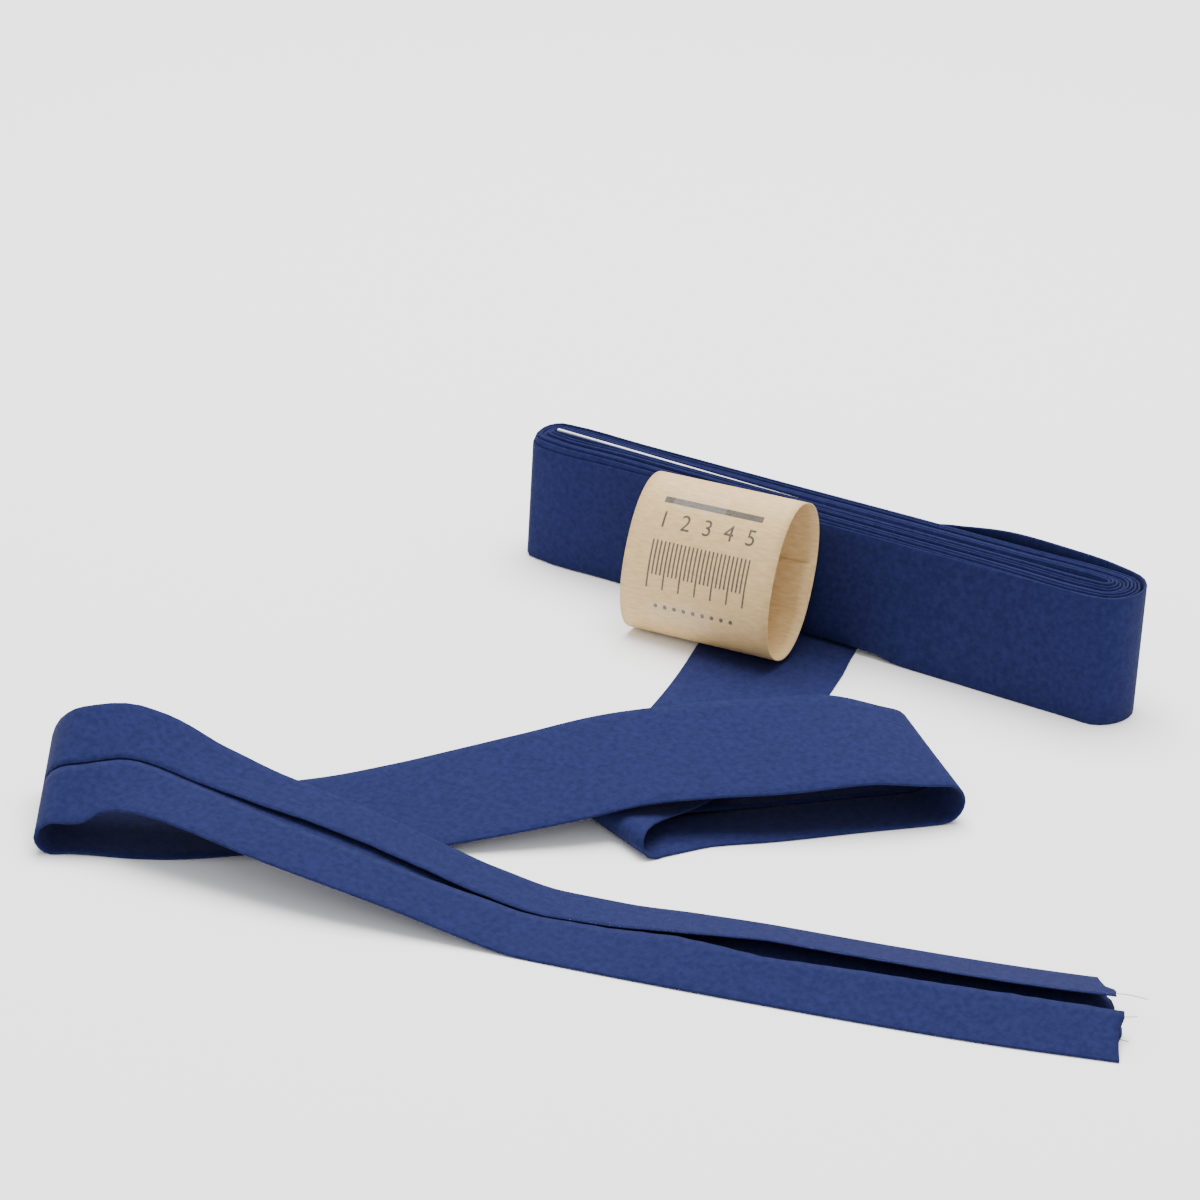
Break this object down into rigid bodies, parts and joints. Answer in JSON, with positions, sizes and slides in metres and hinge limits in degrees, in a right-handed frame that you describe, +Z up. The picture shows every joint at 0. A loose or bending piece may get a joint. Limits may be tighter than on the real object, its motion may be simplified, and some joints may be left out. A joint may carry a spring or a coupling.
{
  "type": "card of bias tape",
  "caption": "Flat-wound hank of folded cotton bias tape standing on its edge round a card, its loose end laid out in soft loops to a cut end, with its paper band slipped off.",
  "frame": {"origin": "centre of the part's box on the table top, under all of it", "axes": "+Z up from the table, +X along the hank to the end its tape leaves from, +Y from the hank's front to its back"},
  "size_m": [0.1898, 0.1936, 0.0316],
  "materials": {
    "tape": "plain weave cotton, navy, pressed",
    "card": "thin white board",
    "kraft": "brown kraft paper, faint fibres"
  },
  "bodies": {
    "root": {"wound_hank": "tape", "loose_end": "tape", "card": "card", "paper_band": "kraft"}
  },
  "joints": []
}
